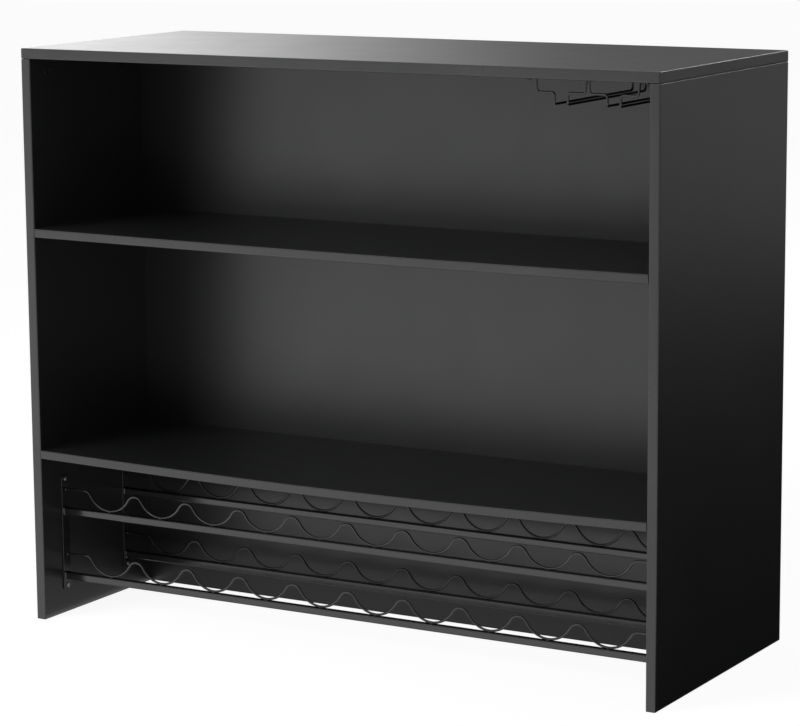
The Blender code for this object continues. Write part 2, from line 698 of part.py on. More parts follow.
def build_hangers():
    """Three stemware hangers, each welded from bent wire and two screwed feet."""
    near = STEM_MIDDLE_SPACING / 2 + STEM_SPLAY
    wires = {
        "left": [(STEM_X - STEM_OUTER_RISER, STEM_X - STEM_OUTER_RAIL)],
        "middle": [(STEM_X - near, STEM_X - STEM_INNER_RAIL), (STEM_X + near, STEM_X + STEM_INNER_RAIL)],
        "right": [(STEM_X + STEM_OUTER_RISER, STEM_X + STEM_OUTER_RAIL)],
    }
    plate = FOOT_THICKNESS + CLEARANCE
    for label, runs in wires.items():
        name = label + "_stemware_hanger"
        hanger = add_part(name, hanger_wire(name, *runs[0]), STEM_RACK, BLACK_WIRE)
        others = []
        foot_x = sum(splayed_foot(*run) for run in runs) / len(runs)
        for end, y in (("front", STEM_FRONT_Y), ("rear", STEM_REAR_Y)):
            screw = hanger_screw_places()[(label, end)]
            others.append(hanger_foot(name + "_" + end + "_foot", (foot_x, y), screw, plate))
            seat = (*screw, TOP_UNDERSIDE - plate)
            screw_name = "_".join((label, end, "hanger_screw"))
            build_screw(screw_name, seat, (0, 0, -1), plate, STEM_RACK, BLACK_WIRE)
        for run in runs[1:]:
            others.append(add_cutter(name + "_second_wire", hanger_wire(name + "_second_wire", *run)))
        for other in others:
            boolean(hanger, other, "UNION")


build_top()
build_sides()
build_backs()
build_shelves()
build_fittings()
build_strips()
build_rails()
build_wave_wires()
build_hangers()
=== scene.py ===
"""Bar cabinet: a black open counter with two shelves, a wine bottle rack and a stemware rack.

The packed solids give every place and size. This file dresses them with edged boards, shelves that
sag a little, bent and welded wire, screws and cover caps, and stands the cabinet on a pale floor.
"""

import math

import bmesh
import bpy
from bpy.props import FloatProperty, FloatVectorProperty, IntProperty, PointerProperty
from bpy.types import Operator, Panel, PropertyGroup
from mathutils import Euler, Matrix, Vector


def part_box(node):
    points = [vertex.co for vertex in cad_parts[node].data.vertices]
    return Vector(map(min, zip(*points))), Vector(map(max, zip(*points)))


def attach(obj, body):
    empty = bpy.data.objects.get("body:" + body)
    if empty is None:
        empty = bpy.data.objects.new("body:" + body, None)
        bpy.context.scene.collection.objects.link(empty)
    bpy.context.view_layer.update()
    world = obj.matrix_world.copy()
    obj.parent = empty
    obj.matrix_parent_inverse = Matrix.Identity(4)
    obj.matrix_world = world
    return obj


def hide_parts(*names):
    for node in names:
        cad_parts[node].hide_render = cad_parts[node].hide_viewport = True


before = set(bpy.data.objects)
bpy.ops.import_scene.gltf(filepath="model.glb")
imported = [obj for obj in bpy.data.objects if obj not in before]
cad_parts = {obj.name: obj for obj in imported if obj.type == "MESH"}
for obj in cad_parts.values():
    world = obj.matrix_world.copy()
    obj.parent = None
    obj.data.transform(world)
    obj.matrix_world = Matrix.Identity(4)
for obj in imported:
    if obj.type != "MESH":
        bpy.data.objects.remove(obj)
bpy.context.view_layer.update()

bl_info = {
    "name": "Bar Cabinet",
    "version": (1, 0, 0),
    "blender": (4, 5, 0),
    "location": "View3D > Sidebar > Bar Cabinet",
    "description": "Dresses the packed bar cabinet with boards, wire racks, fittings and a studio stage",
    "category": "Object",
}

SIDES = {"left": -1, "right": 1}
HANGERS = ("left", "middle", "right")
ROWS = ("front", "rear")
TIERS = ("lower", "upper")
X, Y, Z = range(3)
FRONT, REAR, LEFT, RIGHT, BOTTOM = (Y, -1), (Y, 1), (X, -1), (X, 1), (Z, -1)
ALONG_X = Vector((1, 0, 0))
ALONG_Y = Vector((0, 1, 0))
ALONG_Z = Vector((0, 0, 1))
QUARTER_TURN = math.pi / 2

CLEARANCE = 0.0003
TOUCH = 0.00001  # points closer than this are at one place
PARALLEL = 0.9  # a direction with more than this along an axis runs along it
SQUARE = 0.1  # a direction with less than this along an axis is square to it
SMOOTH_ANGLE = math.radians(40)

# How finely the round shapes are divided
WIRE_SIDES = 14
BEND_STEPS = 7
HALF_CREST_STEPS = 6
CRADLE_STEPS = 16
WELD_SEGMENTS, WELD_RINGS = 16, 10
STRIP_CORNER_STEPS, STRIP_BURR_STEPS = 6, 3
RAIL_CORNER_STEPS = 5
FOOT_END_STEPS, FOOT_BURR_STEPS = 8, 2
HEAD_SIDES, HEAD_STEPS = 36, 5
CAP_SIDES, CAP_STEPS = 48, 4
FLOOR_CUTS, CARD_CUTS = 3, 2

# Shares of a size along X, Y and Z
BEAD_SHARES, BEAD_UPPER_SHARES = (1.0, 0.52, 0.30), (0.8, 1.0, 0.85)
NUGGET_SHARES, NUGGET_UPPER_SHARES = (0.45, 1.0, 1.0), (1.0, 0.9, 0.9)
RECESS_FOOT_SHARES = (0.55, 0.6, 1.0)
POINT_SHARES = (0.2, 0.2, 1.0)

SCREW_TURN = math.radians(37)  # each screw is turned this much further than the one before
CAP_EDGE = 0.49  # share of a cap's diameter beyond which only its outer edge lies
CAP_DISH = 1 / 3  # depth of a cap's face below its rim, as a share of its height
CAP_ROUND = 0.6  # rounding of a cap's edge, as a share of its height

PATTERN_LOW, PATTERN_HIGH = 0.3, 0.7  # the span that a noise pattern mostly fills
EDGING_PEARL = 0.6  # size of the edging's texture, as a share of the faces'
SPANGLE_RELIEF = 0.02  # height of zinc spangle, as a share of its size
WHITE = (1.0, 1.0, 1.0, 1.0)
CLOTH_DARK, CLOTH_LIGHT = (0.001,) * 3, (0.003,) * 3

# How brightly each cloth glows in a reflection: painted shade where it is dark or grey, painted light
# where it glows brighter than white
PAINTED_SHEEN_CLOTH = "painted_sheen_cloth"
PAINTED_REFLECTION_GLOWS = {
    PAINTED_SHEEN_CLOTH: 0.13,
    "rack_painted_shade_cloth": 0.32,
    "grey_painted_shade_cloth": 0.25,
    "black_painted_shade_cloth": 0.0,
    "end_painted_light_cloth": 2.8,
    "front_painted_light_cloth": 1.35,
}
PAINTED_SHEEN_FULL_X, PAINTED_SHEEN_GONE_X = -5.0, -2.6  # where the counter top's painted sheen glows fully and where it is gone
PAINTED_SHEEN_FADE_POWER = 1.75  # how fast the painted sheen fades in between

# Cards that only reflections see, painting light and shade into them: two corners and a cloth
PAINTED_REFLECTION_CARDS = {
    # counter flag: painted sheen for the counter top, a glow that fades along X
    "counter_flag": ((-7.5, 6.0, 0.0), (5.0, 6.0, 4.5), PAINTED_SHEEN_CLOTH),
    # rack, left and right flags: painted shade, the cabinet's shadow on the floor, seen only in
    # reflections
    "rack_flag": ((-0.57, -0.25, 0.0), (0.57, 0.079, 0.0), "rack_painted_shade_cloth"),
    "left_flag": ((-18.0, -0.25, 0.0), (-0.6003, 8.8, 0.0), "grey_painted_shade_cloth"),
    "right_flag": ((0.6003, -0.6, 0.0), (18.0, 8.8, 0.0), "black_painted_shade_cloth"),
    # end and front cards: painted light, a glow brighter than white on the floor, seen only in
    # reflections
    "end_card": ((2.0, 8.8, 0.0), (11.0, 14.9, 0.0), "end_painted_light_cloth"),
    # far, front and side flags: painted shade, dark surroundings seen only in reflections
    "far_flag": ((1.0, 15.0, 0.0), (40.0, 15.0, 12.0), "black_painted_shade_cloth"),
    "front_flag": ((-18.0, -15.0, 1.6), (8.0, -15.0, 7.0), "black_painted_shade_cloth"),
    "front_card": ((-12.0, -11.0, 0.0), (0.0, -6.5, 0.0), "front_painted_light_cloth"),
    "side_flag": ((-0.3, -3.0, 0.0), (2.5, -3.0, 3.0), "black_painted_shade_cloth"),
}
CAMERA_REACH = 100.0


def node_size(node):
    """Width, depth and height of a packed node."""
    low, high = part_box(node)
    return high - low


def node_middle(node):
    """Middle of a packed node's box."""
    low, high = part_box(node)
    return (low + high) / 2


def face_middle(node, facing):
    """Middle of the side of a packed node's box that faces along an axis."""
    low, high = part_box(node)
    place = node_middle(node)
    for axis in range(3):
        if abs(facing[axis]) > PARALLEL:
            place[axis] = high[axis] if facing[axis] > 0 else low[axis]
    return place


def inner_face_x():
    """Distance of the end boards' inner faces from the middle."""
    return abs(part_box("lower_shelf")[0].x) + CLEARANCE


def setting(kind, **limits):
    """A maker of settings of one kind, which a user may change."""

    def make(description, default):
        return kind(description=description, default=default, **limits)

    return make


metres = setting(FloatProperty, min=0.0, precision=4, subtype="DISTANCE", unit="LENGTH")
spot = setting(FloatVectorProperty, size=3, subtype="TRANSLATION", unit="LENGTH")
angles = setting(FloatVectorProperty, size=3, subtype="EULER", unit="ROTATION")
focus = setting(FloatProperty, min=1.0, subtype="DISTANCE_CAMERA", unit="CAMERA")
number = setting(IntProperty, min=1, max=64)
share = setting(FloatProperty, min=0.0, max=1.0, subtype="FACTOR")
brightness = setting(FloatProperty, min=0.0)
tone = setting(FloatVectorProperty, min=0.0, max=1.0, size=3, subtype="COLOR")
watts = setting(FloatProperty, min=0.0, subtype="POWER", unit="POWER")


class BoardSettings(PropertyGroup):
    """Boards, their edging and the sag of the shelves."""

    edge_radius: metres("Rounding and thickness of the edging", 0.002)
    edge_segments: number("Faces across one rounded edge", 5)
    eased_radius: metres("Rounding of the counter's lower end edges", 0.001)
    seam: metres("Hairline between the edging and the board's face", 0.00025)
    groove_depth: metres("Depth of the groove for the back board", 0.006)
    lower_sag: metres("Drop of its front edge at mid-span", 0.0072)
    upper_sag: metres("Drop of its front edge at mid-span", 0.0020)
    sag_slices: number("Slices along a shelf that follow its sag", 28)
    face_colour: tone("Satin black laminate", (0.0142, 0.0147, 0.0152))
    edging_colour: tone("Black edging strip", (0.0195, 0.0200, 0.0206))
    seam_colour: tone("Dark glue line beside the edging", (0.004, 0.004, 0.004))
    pearl: metres("Size of the laminate's fine pressed texture", 0.0011)


class RackSettings(PropertyGroup):
    """Bottle rack: strips, rails and wave wires."""

    bottle_pitch: metres("Spacing of the bottle cradles", 0.1078)
    crest_radius: metres("Bend radius on the wire's axis", 0.0164)
    shortest_end: metres("Least straight wire beside a strip", 0.020)
    rail_corner: metres("Rounding of a square rail's long corners", 0.0020)
    strip_corner: metres("Rounding of a strip's corners", 0.0035)
    strip_burr: metres("Softening of a strip's stamped edges", 0.0004)
    weld: metres("Reach of the weld round a rail's end", 0.0013)
    bead_length: metres("Length of the weld under a cradle", 0.0090)
    nugget: metres("Width of the weld between a wire and its strip", 0.0064)
    coat_colour: tone("Glossy black coating", (0.0110, 0.0112, 0.0116))


class StemwareSettings(PropertyGroup):
    """Stemware rack: bent wire hangers under the counter top."""

    slot: metres("Between the two wires of a slot", 0.023)
    channel_pitch: metres("Between the middles of the two slots", 0.0906)
    shoulder: metres("From an outer wire to its riser", 0.0303)
    splay: metres("How far a riser's foot is beyond its shoulder", 0.002)
    middle_spacing: metres("Between the middle risers' feet", 0.0046)
    shoulder_drop: metres("From the counter top to the shoulders", 0.0226)
    bend_radius: metres("Bend radius on the wire's axis", 0.005)
    foot_width: metres("Width of a screwed foot", 0.010)
    foot_thickness: metres("Thickness of a screwed foot", 0.0015)
    foot_burr: metres("Softening of a foot's stamped edges", 0.0003)


class FittingSettings(PropertyGroup):
    """Screws, cover caps and the fittings inside the boards."""

    head_diameter: metres("Diameter of a pan head", 0.007)
    head_height: metres("Height of a pan head", 0.0022)
    head_round: metres("Rounding of a pan head's crown", 0.0010)
    shank_diameter: metres("Diameter of a screw's shank", 0.0034)
    shank_length: metres("From the head to the start of the point", 0.0095)
    point_length: metres("Length of a screw's point", 0.0020)
    recess_length: metres("Length of the cross recess", 0.0040)
    recess_width: metres("Width of the cross recess", 0.0010)
    recess_depth: metres("Depth of the cross recess", 0.0013)
    cap_diameter: metres("Diameter of the cap over a cam", 0.0172)
    cap_height: metres("How far a cap stands off the board", 0.0009)
    cap_rim: metres("Width of the raised rim of a cap", 0.0018)
    screw_colour: tone("Bright zinc", (0.46, 0.47, 0.48))
    zinc_colour: tone("Dull cast zinc", (0.46, 0.46, 0.45))
    cap_colour: tone("Black moulded caps", (0.0135, 0.0138, 0.0142))
    beech_colour: tone("Beech", (0.56, 0.38, 0.22))


class StageSettings(PropertyGroup):
    """Camera, floor and studio light."""

    camera_place: spot("Where the camera stands", (2.5445, -4.3607, 1.3641))
    camera_turn: angles(
        "Tilt, roll and heading of the camera",
        (math.radians(79.926), math.radians(0.430), math.radians(30.191)),
    )
    lens: focus("Focal length", 135.58)
    floor_size: metres("Width of the studio floor", 40.0)
    floor_colour: tone("Pale studio floor", (0.86, 0.86, 0.86))
    floor_white: share("Plain white that the floor shows", 0.92)
    floor_shadow: share("Share of its lit colour, with the shadow", 0.28)
    ambient: share("Soft light from all around", 0.18)
    key_power: watts("Large soft lamp at the front left", 150.0)
    edge_power: watts("Soft lamp behind the right end, for the edges", 40.0)
    # painted sheen: how brightly the counter flag's card glows at its full end, no lamp
    sheen: brightness("Glow behind the left end, seen in the counter top", 2.8)


def leave_edit_mode():
    """Back to object mode."""
    if bpy.context.object and bpy.context.object.mode != "OBJECT":
        bpy.ops.object.mode_set(mode="OBJECT")


def choose(*pieces):
    """Selects only these pieces and makes the first one active."""
    leave_edit_mode()
    bpy.ops.object.select_all(action="DESELECT")
    for piece in pieces:
        piece.select_set(True)
    bpy.context.view_layer.objects.active = pieces[0] if pieces else None


def settle():
    """Puts the chosen piece's place, turn and scale into its mesh."""
    bpy.ops.object.transform_apply(location=True, rotation=True, scale=True)


def pick_all():
    """Selects all of the open piece."""
    bpy.ops.mesh.select_all(action="SELECT")


def open_piece(name):
    """Names the primitive just added, puts its place into its mesh and opens it for editing."""
    piece = bpy.context.object
    piece.name = piece.data.name = name
    settle()
    bpy.ops.object.mode_set(mode="EDIT")
    return piece


def open_block(name, low, high):
    """A block between two corners, open for editing."""
    choose()
    bpy.ops.mesh.primitive_cube_add(size=1.0, location=(low + high) / 2, scale=high - low)
    return open_piece(name)


def facing_turn(direction):
    """The turn from upward to a direction."""
    return direction.to_track_quat("Z", "Y")


def open_ring(name, middle, direction, radius):
    """An open ring that faces a direction, all selected, ready to be drawn into a wire."""
    choose()
    bpy.ops.mesh.primitive_circle_add(
        vertices=WIRE_SIDES,
        radius=radius,
        fill_type="NOTHING",
        location=middle,
        rotation=facing_turn(direction).to_euler(),
    )
    piece = open_piece(name)
    pick_all()
    return piece


def open_disc(name, radius, height, sides):
    """A round blank with its upper face at the origin, open for editing."""
    choose()
    bpy.ops.mesh.primitive_cylinder_add(
        vertices=sides,
        radius=radius,
        depth=height,
        end_fill_type="NGON",
        location=(0, 0, -height / 2),
    )
    return open_piece(name)


def pick(kind, test):
    """Selects the vertices, edges or faces whose middle point and direction pass a test."""
    bpy.ops.mesh.select_mode(type=kind)
    bpy.ops.mesh.select_all(action="DESELECT")
    mesh = bpy.context.object.data
    shape = bmesh.from_edit_mesh(mesh)
    if kind == "VERT":
        chosen = [v for v in shape.verts if test(v.co, v.normal)]
    elif kind == "EDGE":
        chosen = []
        for edge in shape.edges:
            start, end = (v.co for v in edge.verts)
            if test((start + end) / 2, (end - start).normalized()):
                chosen.append(edge)
    else:
        chosen = [f for f in shape.faces if test(f.calc_center_median(), f.normal)]
    if not chosen:
        raise RuntimeError(f"nothing to select on {bpy.context.object.name}")
    for part in chosen:
        part.select_set(True)
    shape.select_flush_mode()
    bmesh.update_edit_mesh(mesh)


def lengthwise(axis):
    """A test for edges that run along an axis."""
    return lambda point, along: abs(along[axis]) > PARALLEL


def crosswise(axis):
    """A test for edges that are square to an axis."""
    return lambda point, along: abs(along[axis]) < SQUARE


def slice_piece(place, normal):
    """Cuts a line of edges round the open piece."""
    pick_all()
    bpy.ops.mesh.bisect(plane_co=place, plane_no=normal, threshold=TOUCH)


def draw_on(step):
    """Draws what is selected straight on by a step."""
    bpy.ops.mesh.extrude_region_move(TRANSFORM_OT_translate={"value": step})


def bend_on(centre, axis, angle, steps):
    """Draws the selected ring on round a bend. Spin counts its angle the other way round."""
    bpy.ops.mesh.spin(steps=steps, angle=-angle, center=centre, axis=axis)


def scale_picked(shares):
    """Widens or narrows what is selected about the origin."""
    bpy.ops.transform.resize(value=shares, center_override=(0, 0, 0))


def turn_outward():
    """Turns all faces of the open piece outward."""
    pick_all()
    bpy.ops.mesh.normals_make_consistent(inside=False)


def close_wire():
    """Closes both ends of a drawn wire and turns its faces outward."""
    pick_all()
    bpy.ops.mesh.fill_holes(sides=0)
    turn_outward()


def round_edges(radius, segments):
    """Rounds the selected edges."""
    bpy.ops.mesh.bevel(offset=radius, segments=segments, profile=0.5, affect="EDGES")


def wear_finish(piece, *finishes):
    """Gives a piece its finishes, the first one all over."""
    piece.data.materials.clear()
    for finish in finishes:
        piece.data.materials.append(finish)


def paint_faces(index, test):
    """Gives the faces that pass a test another of the piece's finishes."""
    pick("FACE", test)
    bpy.context.object.active_material_index = index
    bpy.ops.object.material_slot_assign()


def shade(piece):
    """Smooth shading that keeps the flat faces flat."""
    choose(piece)
    bpy.ops.object.shade_smooth_by_angle(angle=SMOOTH_ANGLE)
    flat = piece.modifiers.new("flat_faces", "WEIGHTED_NORMAL")
    flat.keep_sharp = True
    bpy.ops.object.modifier_apply(modifier=flat.name)


def discard(piece):
    """Throws a pattern or a cutter away."""
    bpy.data.objects.remove(piece, do_unlink=True)


def cut_out(piece, cutter):
    """Cuts a cutter out of a piece and throws the cutter away."""
    choose(piece)
    cut = piece.modifiers.new("cut", "BOOLEAN")
    cut.operation = "DIFFERENCE"
    cut.solver = "EXACT"
    cut.object = cutter
    bpy.ops.object.modifier_apply(modifier=cut.name)
    discard(cutter)


def copy_piece(pattern, name, place, turn=None):
    """A copy of a pattern with its own mesh, turned and moved, its place in its mesh."""
    choose(pattern)
    bpy.ops.object.duplicate(linked=False)
    copy = bpy.context.object
    copy.name = copy.data.name = name
    if turn is not None:
        copy.rotation_euler = turn
    copy.location = place
    settle()
    return copy


def weld_together(piece, *others):
    """Joins other pieces into the first one."""
    choose(piece, *others)
    bpy.ops.object.join()
    return piece


def fit_on_cabinet(piece, slot, *nodes):
    """Fixes a finished piece to the cabinet, in place of the packed nodes that it stands for."""
    leave_edit_mode()
    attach(piece, "root")
    if nodes:
        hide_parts(*nodes)


def fit_board(board, node):
    """Shades a board and fits it in place of its node."""
    shade(board)
    fit_on_cabinet(board, "black_board", node)


def fit_copies(pattern, names):
    """Fits a copy of a rack pattern in place of each node and throws the pattern away."""
    for node, name in names.items():
        fit_on_cabinet(copy_piece(pattern, name, node_middle(node)), "black_wire", node)
    discard(pattern)


def empty_tree(owner):
    """The node tree of a material or world, cleared."""
    owner.use_nodes = True
    owner.node_tree.nodes.clear()
    return owner.node_tree


def add_node(tree, kind, inputs=None, operation=None):
    """A new node. Each input, by name or number, is linked to a socket or set to a value."""
    node = tree.nodes.new(kind)
    if operation:
        node.operation = operation
    for key, value in (inputs or {}).items():
        if isinstance(value, bpy.types.NodeSocket):
            tree.links.new(value, node.inputs[key])
        else:
            node.inputs[key].default_value = value
    return node


def finish_maker(dress):
    """Lets a finish be made at its first use, dressed by a function, and given again later."""

    def give(name, *values, **named):
        finish = bpy.data.materials.get(name)
        if finish is None:
            finish = bpy.data.materials.new(name)
            tree = empty_tree(finish)
            shader = add_node(tree, "ShaderNodeBsdfPrincipled")
            add_node(tree, "ShaderNodeOutputMaterial", {"Surface": shader.outputs["BSDF"]})
            place = add_node(tree, "ShaderNodeTexCoord").outputs["Object"]
            dress(tree, shader, place, *values, **named)
        return finish

    return give


def stretch(tree, place, scale):
    """The place on the piece, scaled per axis."""
    return add_node(tree, "ShaderNodeMapping", {"Vector": place, "Scale": scale}).outputs["Vector"]


def clouds(tree, place, size, detail=2.0, rough=0.5):
    """Soft patches of about a size in metres."""
    inputs = {"Vector": place, "Scale": 1.0 / size, "Detail": detail, "Roughness": rough}
    return add_node(tree, "ShaderNodeTexNoise", inputs).outputs["Fac"]


def ranged(tree, value, low, high, start=PATTERN_LOW, end=PATTERN_HIGH):
    """A value spread between two others."""
    inputs = {"Value": value, "From Min": start, "From Max": end, "To Min": low, "To Max": high}
    return add_node(tree, "ShaderNodeMapRange", inputs).outputs["Result"]


def multiplied(tree, value, factor, addend):
    """A value times a factor, plus another value."""
    inputs = {0: value, 1: factor, 2: addend}
    return add_node(tree, "ShaderNodeMath", inputs, "MULTIPLY_ADD").outputs["Value"]


def tinted(colour, factor):
    """A colour made darker or lighter."""
    return tuple(min(1.0, part * factor) for part in colour)


def colour_by(tree, shader, pattern, dark, light):
    """Colours a shader between two colours by a pattern."""
    ramp = add_node(tree, "ShaderNodeValToRGB", {"Fac": pattern})
    stops = ((PATTERN_LOW, dark), (PATTERN_HIGH, light))
    for element, (position, colour) in zip(ramp.color_ramp.elements, stops):
        element.position = position
        element.color = (*colour, 1.0)
    tree.links.new(ramp.outputs["Color"], shader.inputs["Base Color"])


def tint_by(tree, shader, pattern, colour, dark, light):
    """Colours a shader by a pattern, between a darker and a lighter tint of one colour."""
    colour_by(tree, shader, pattern, tinted(colour, dark), tinted(colour, light))


def dull_by(tree, shader, pattern, low, high):
    """Spreads a shader's roughness by a pattern."""
    tree.links.new(ranged(tree, pattern, low, high), shader.inputs["Roughness"])


def raise_by(tree, shader, pattern, depth):
    """Raises the surface by a pattern, up to a depth in metres."""
    inputs = {"Strength": 1.0, "Distance": depth, "Height": pattern}
    bump = add_node(tree, "ShaderNodeBump", inputs)
    tree.links.new(bump.outputs["Normal"], shader.inputs["Normal"])


@finish_maker
def laminate_finish(tree, shader, place, colour, pearl, low, high, gloss):
    """Satin black laminate: faint cloudiness, an uneven sheen and a fine pressed texture."""
    broad = clouds(tree, place, size=0.16, detail=4.0)
    fine = clouds(tree, place, size=pearl)
    mottle = multiplied(tree, fine, factor=0.35, addend=broad)
    tint_by(tree, shader, mottle, colour, dark=0.86, light=1.14)
    upright = stretch(tree, place, scale=(1.0, 1.0, 0.6))
    handled = clouds(tree, upright, size=0.09, detail=5.0, rough=0.6)
    dull_by(tree, shader, handled, low, high)
    shader.inputs["Specular IOR Level"].default_value = gloss
    raise_by(tree, shader, fine, depth=0.000012)


@finish_maker
def seam_finish(tree, shader, place, colour):
    """The dark hairline beside the edging."""
    grime = clouds(tree, place, size=0.012, detail=3.0)
    tint_by(tree, shader, grime, colour, dark=0.6, light=1.8)
    dull_by(tree, shader, grime, low=0.55, high=0.75)


@finish_maker
def coat_finish(tree, shader, place, colour):
    """Glossy black coating with a slight orange peel and a few duller patches."""
    peel = clouds(tree, place, size=0.0016, detail=1.0)
    patches = clouds(tree, place, size=0.035, detail=4.0, rough=0.6)
    tint_by(tree, shader, patches, colour, dark=0.8, light=1.25)
    dull_by(tree, shader, patches, low=0.11, high=0.18)
    shader.inputs["Specular IOR Level"].default_value = 0.85
    raise_by(tree, shader, peel, depth=0.00004)


@finish_maker
def zinc_finish(tree, shader, place, colour, grain, low, high):
    """Zinc plate or casting: light spangle and an uneven sheen."""
    shader.inputs["Metallic"].default_value = 1.0
    spangle = clouds(tree, place, size=grain, detail=3.0)
    tint_by(tree, shader, spangle, colour, dark=0.82, light=1.12)
    dull_by(tree, shader, spangle, low, high)
    raise_by(tree, shader, spangle, depth=grain * SPANGLE_RELIEF)


@finish_maker
def cap_finish(tree, shader, place, colour):
    """Black moulded plastic with a spark eroded texture."""
    texture = clouds(tree, place, size=0.0005)
    patches = clouds(tree, place, size=0.01, detail=3.0)
    tint_by(tree, shader, patches, colour, dark=0.85, light=1.2)
    dull_by(tree, shader, patches, low=0.40, high=0.50)
    raise_by(tree, shader, texture, depth=0.00002)


@finish_maker
def beech_finish(tree, shader, place, colour):
    """Beech with short dark flecks that run along the dowel."""
    lengthened = stretch(tree, place, scale=(0.12, 1.0, 1.0))
    fibre = clouds(tree, lengthened, size=0.0012, detail=4.0, rough=0.6)
    tint_by(tree, shader, fibre, colour, dark=0.62, light=1.18)
    dull_by(tree, shader, fibre, low=0.78, high=0.62)
    raise_by(tree, shader, fibre, depth=0.00005)


def wire_coat():
    """The coating that all wire, tube and strip wears."""
    return coat_finish("black_wire_coat", bpy.context.scene.bar_cabinet_rack.coat_colour)


def board_finishes(settings):
    """Face, edging and seam finishes of a board, in that order."""
    face = laminate_finish(
        "black_laminate",
        settings.face_colour,
        settings.pearl,
        low=0.325,
        high=0.355,
        gloss=0.8,
    )
    edging = laminate_finish(
        "black_edging",
        settings.edging_colour,
        settings.pearl * EDGING_PEARL,
        low=0.26,
        high=0.34,
        gloss=0.75,
    )
    return face, edging, seam_finish("edging_seam", settings.seam_colour)


def shape_board(name, node, settings, banded, rounded=None, eased=None):
    """A board as big as its node: its rounded edges, then the edging and its seam.

    banded lists the (axis, sign) of each edged side. rounded and eased choose edges by their side
    signs, nought along the edge, for the full radius and for the eased one.
    """
    low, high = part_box(node)
    middle, half = (low + high) / 2, (high - low) / 2
    board = open_block(name, low, high)
    wear_finish(board, *board_finishes(settings))

    def signs(point):
        return tuple(round((point[axis] - middle[axis]) / half[axis]) for axis in range(3))

    if rounded:
        pick("EDGE", lambda point, along: rounded(*signs(point)))
        round_edges(settings.edge_radius, settings.edge_segments)
    if eased:
        pick("EDGE", lambda point, along: abs(along.y) > PARALLEL and eased(*signs(point)))
        round_edges(settings.eased_radius, settings.edge_segments)
    depth = settings.edge_radius
    corner = {-1: low, 1: high}
    for axis, sign in banded:
        normal = Vector(axis == other for other in range(3))
        for setback in (depth, depth + settings.seam):
            place = middle.copy()
            place[axis] = corner[sign][axis] - sign * setback
            slice_piece(place, normal)

    def setback_of(point):
        return min((corner[sign][axis] - point[axis]) * sign for axis, sign in banded)

    paint_faces(1, lambda point, normal: setback_of(point) < depth)
    paint_faces(2, lambda point, normal: depth < setback_of(point) < depth + settings.seam)
    return board


def groove_end_board(board, sign, settings):
    """Cuts the groove for the back board into the inner face of an end board."""
    back_low, back_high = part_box("inner_back_panel")
    depth = settings.groove_depth
    xs = sorted(sign * (inner_face_x() + reach) for reach in (-depth, depth))
    low = Vector((xs[0], back_low.y - CLEARANCE, back_low.z - depth))
    high = Vector((xs[1], back_high.y + CLEARANCE, back_high.z + depth))
    cut_out(board, open_block(board.name + "_groove", low, high))


def sag_share(x, y):
    """Share of the mid-span drop at a place on a shelf: nought at the ends and along the back.

    Along the shelf it is the bend of an evenly loaded board on two supports.
    """
    low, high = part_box("lower_shelf")
    across = x / high.x
    along = (1 - across**2) * (5 - across**2) / 5
    return along * min(1.0, (high.y - y) / (high.y - low.y))


def sag_shelf(settings, node, drop):
    """Slices the open shelf along its length and lets its front edge down."""
    low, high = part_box(node)
    front = low.y + settings.edge_radius + settings.seam + TOUCH
    step = (high.x - low.x) / settings.sag_slices
    stations = [low.x + step * index for index in range(1, settings.sag_slices)]
    for x in stations:
        slice_piece((x, 0, 0), ALONG_X)
    for x in stations:
        pick("VERT", lambda point, normal, x=x: abs(point.x - x) < TOUCH and point.y < front)
        bpy.ops.transform.translate(value=(0, 0, -drop * sag_share(x, low.y)))


class BARCABINET_OT_boards(Operator):
    """Build the counter top, the two end boards, the back board and the guest side board"""

    bl_idname = "barcabinet.boards"
    bl_label = "Boards"

    def execute(self, context):
        settings = context.scene.bar_cabinet_boards
        counter = shape_board(
            "counter_top_board",
            "top_panel",
            settings,
            (FRONT, REAR, LEFT, RIGHT),
            rounded=lambda x, y, z: z != -1 or x == 0,
            eased=lambda x, y, z: z == -1 and x != 0,
        )
        fit_board(counter, "top_panel")
        for side, sign in SIDES.items():
            node = side + "_side_panel"
            board = shape_board(
                side + "_end_board",
                node,
                settings,
                (FRONT, REAR),
                rounded=lambda x, y, z, sign=sign: x == sign or (y != 0 and z == 0),
            )
            groove_end_board(board, sign, settings)
            fit_board(board, node)
        for name, node in (("back_board", "inner_back_panel"), ("guest_side_board", "guest_panel")):
            fit_board(shape_board(name, node, settings, (BOTTOM,)), node)
        return {"FINISHED"}


class BARCABINET_OT_shelves(Operator):
    """Build the two shelves with their edging and sag"""

    bl_idname = "barcabinet.shelves"
    bl_label = "Shelves"

    def execute(self, context):
        settings = context.scene.bar_cabinet_boards
        for tier, drop in zip(TIERS, (settings.lower_sag, settings.upper_sag)):
            node = tier + "_shelf"
            shelf = shape_board(
                node + "_board",
                node,
                settings,
                (FRONT,),
                rounded=lambda x, y, z: y == -1 and x == 0,
            )
            sag_shelf(settings, node, drop)
            fit_board(shelf, node)
        return {"FINISHED"}


class BARCABINET_OT_rack_strips(Operator):
    """Build one upright rack strip and copy it to its four places"""

    bl_idname = "barcabinet.rack_strips"
    bl_label = "Rack strips"

    def execute(self, context):
        settings = context.scene.bar_cabinet_rack
        size = node_size("front_left_rack_strip")
        pattern = open_block("rack_upright", -size / 2, size / 2)
        wear_finish(pattern, wire_coat())
        pick("EDGE", lengthwise(X))
        round_edges(settings.strip_corner, STRIP_CORNER_STEPS)
        pick("EDGE", crosswise(X))
        round_edges(settings.strip_burr, STRIP_BURR_STEPS)
        shade(pattern)
        names = {
            f"{row}_{side}_rack_strip": f"{side}_{row}_rack_upright"
            for side in SIDES
            for row in ROWS
        }
        fit_copies(pattern, names)
        return {"FINISHED"}


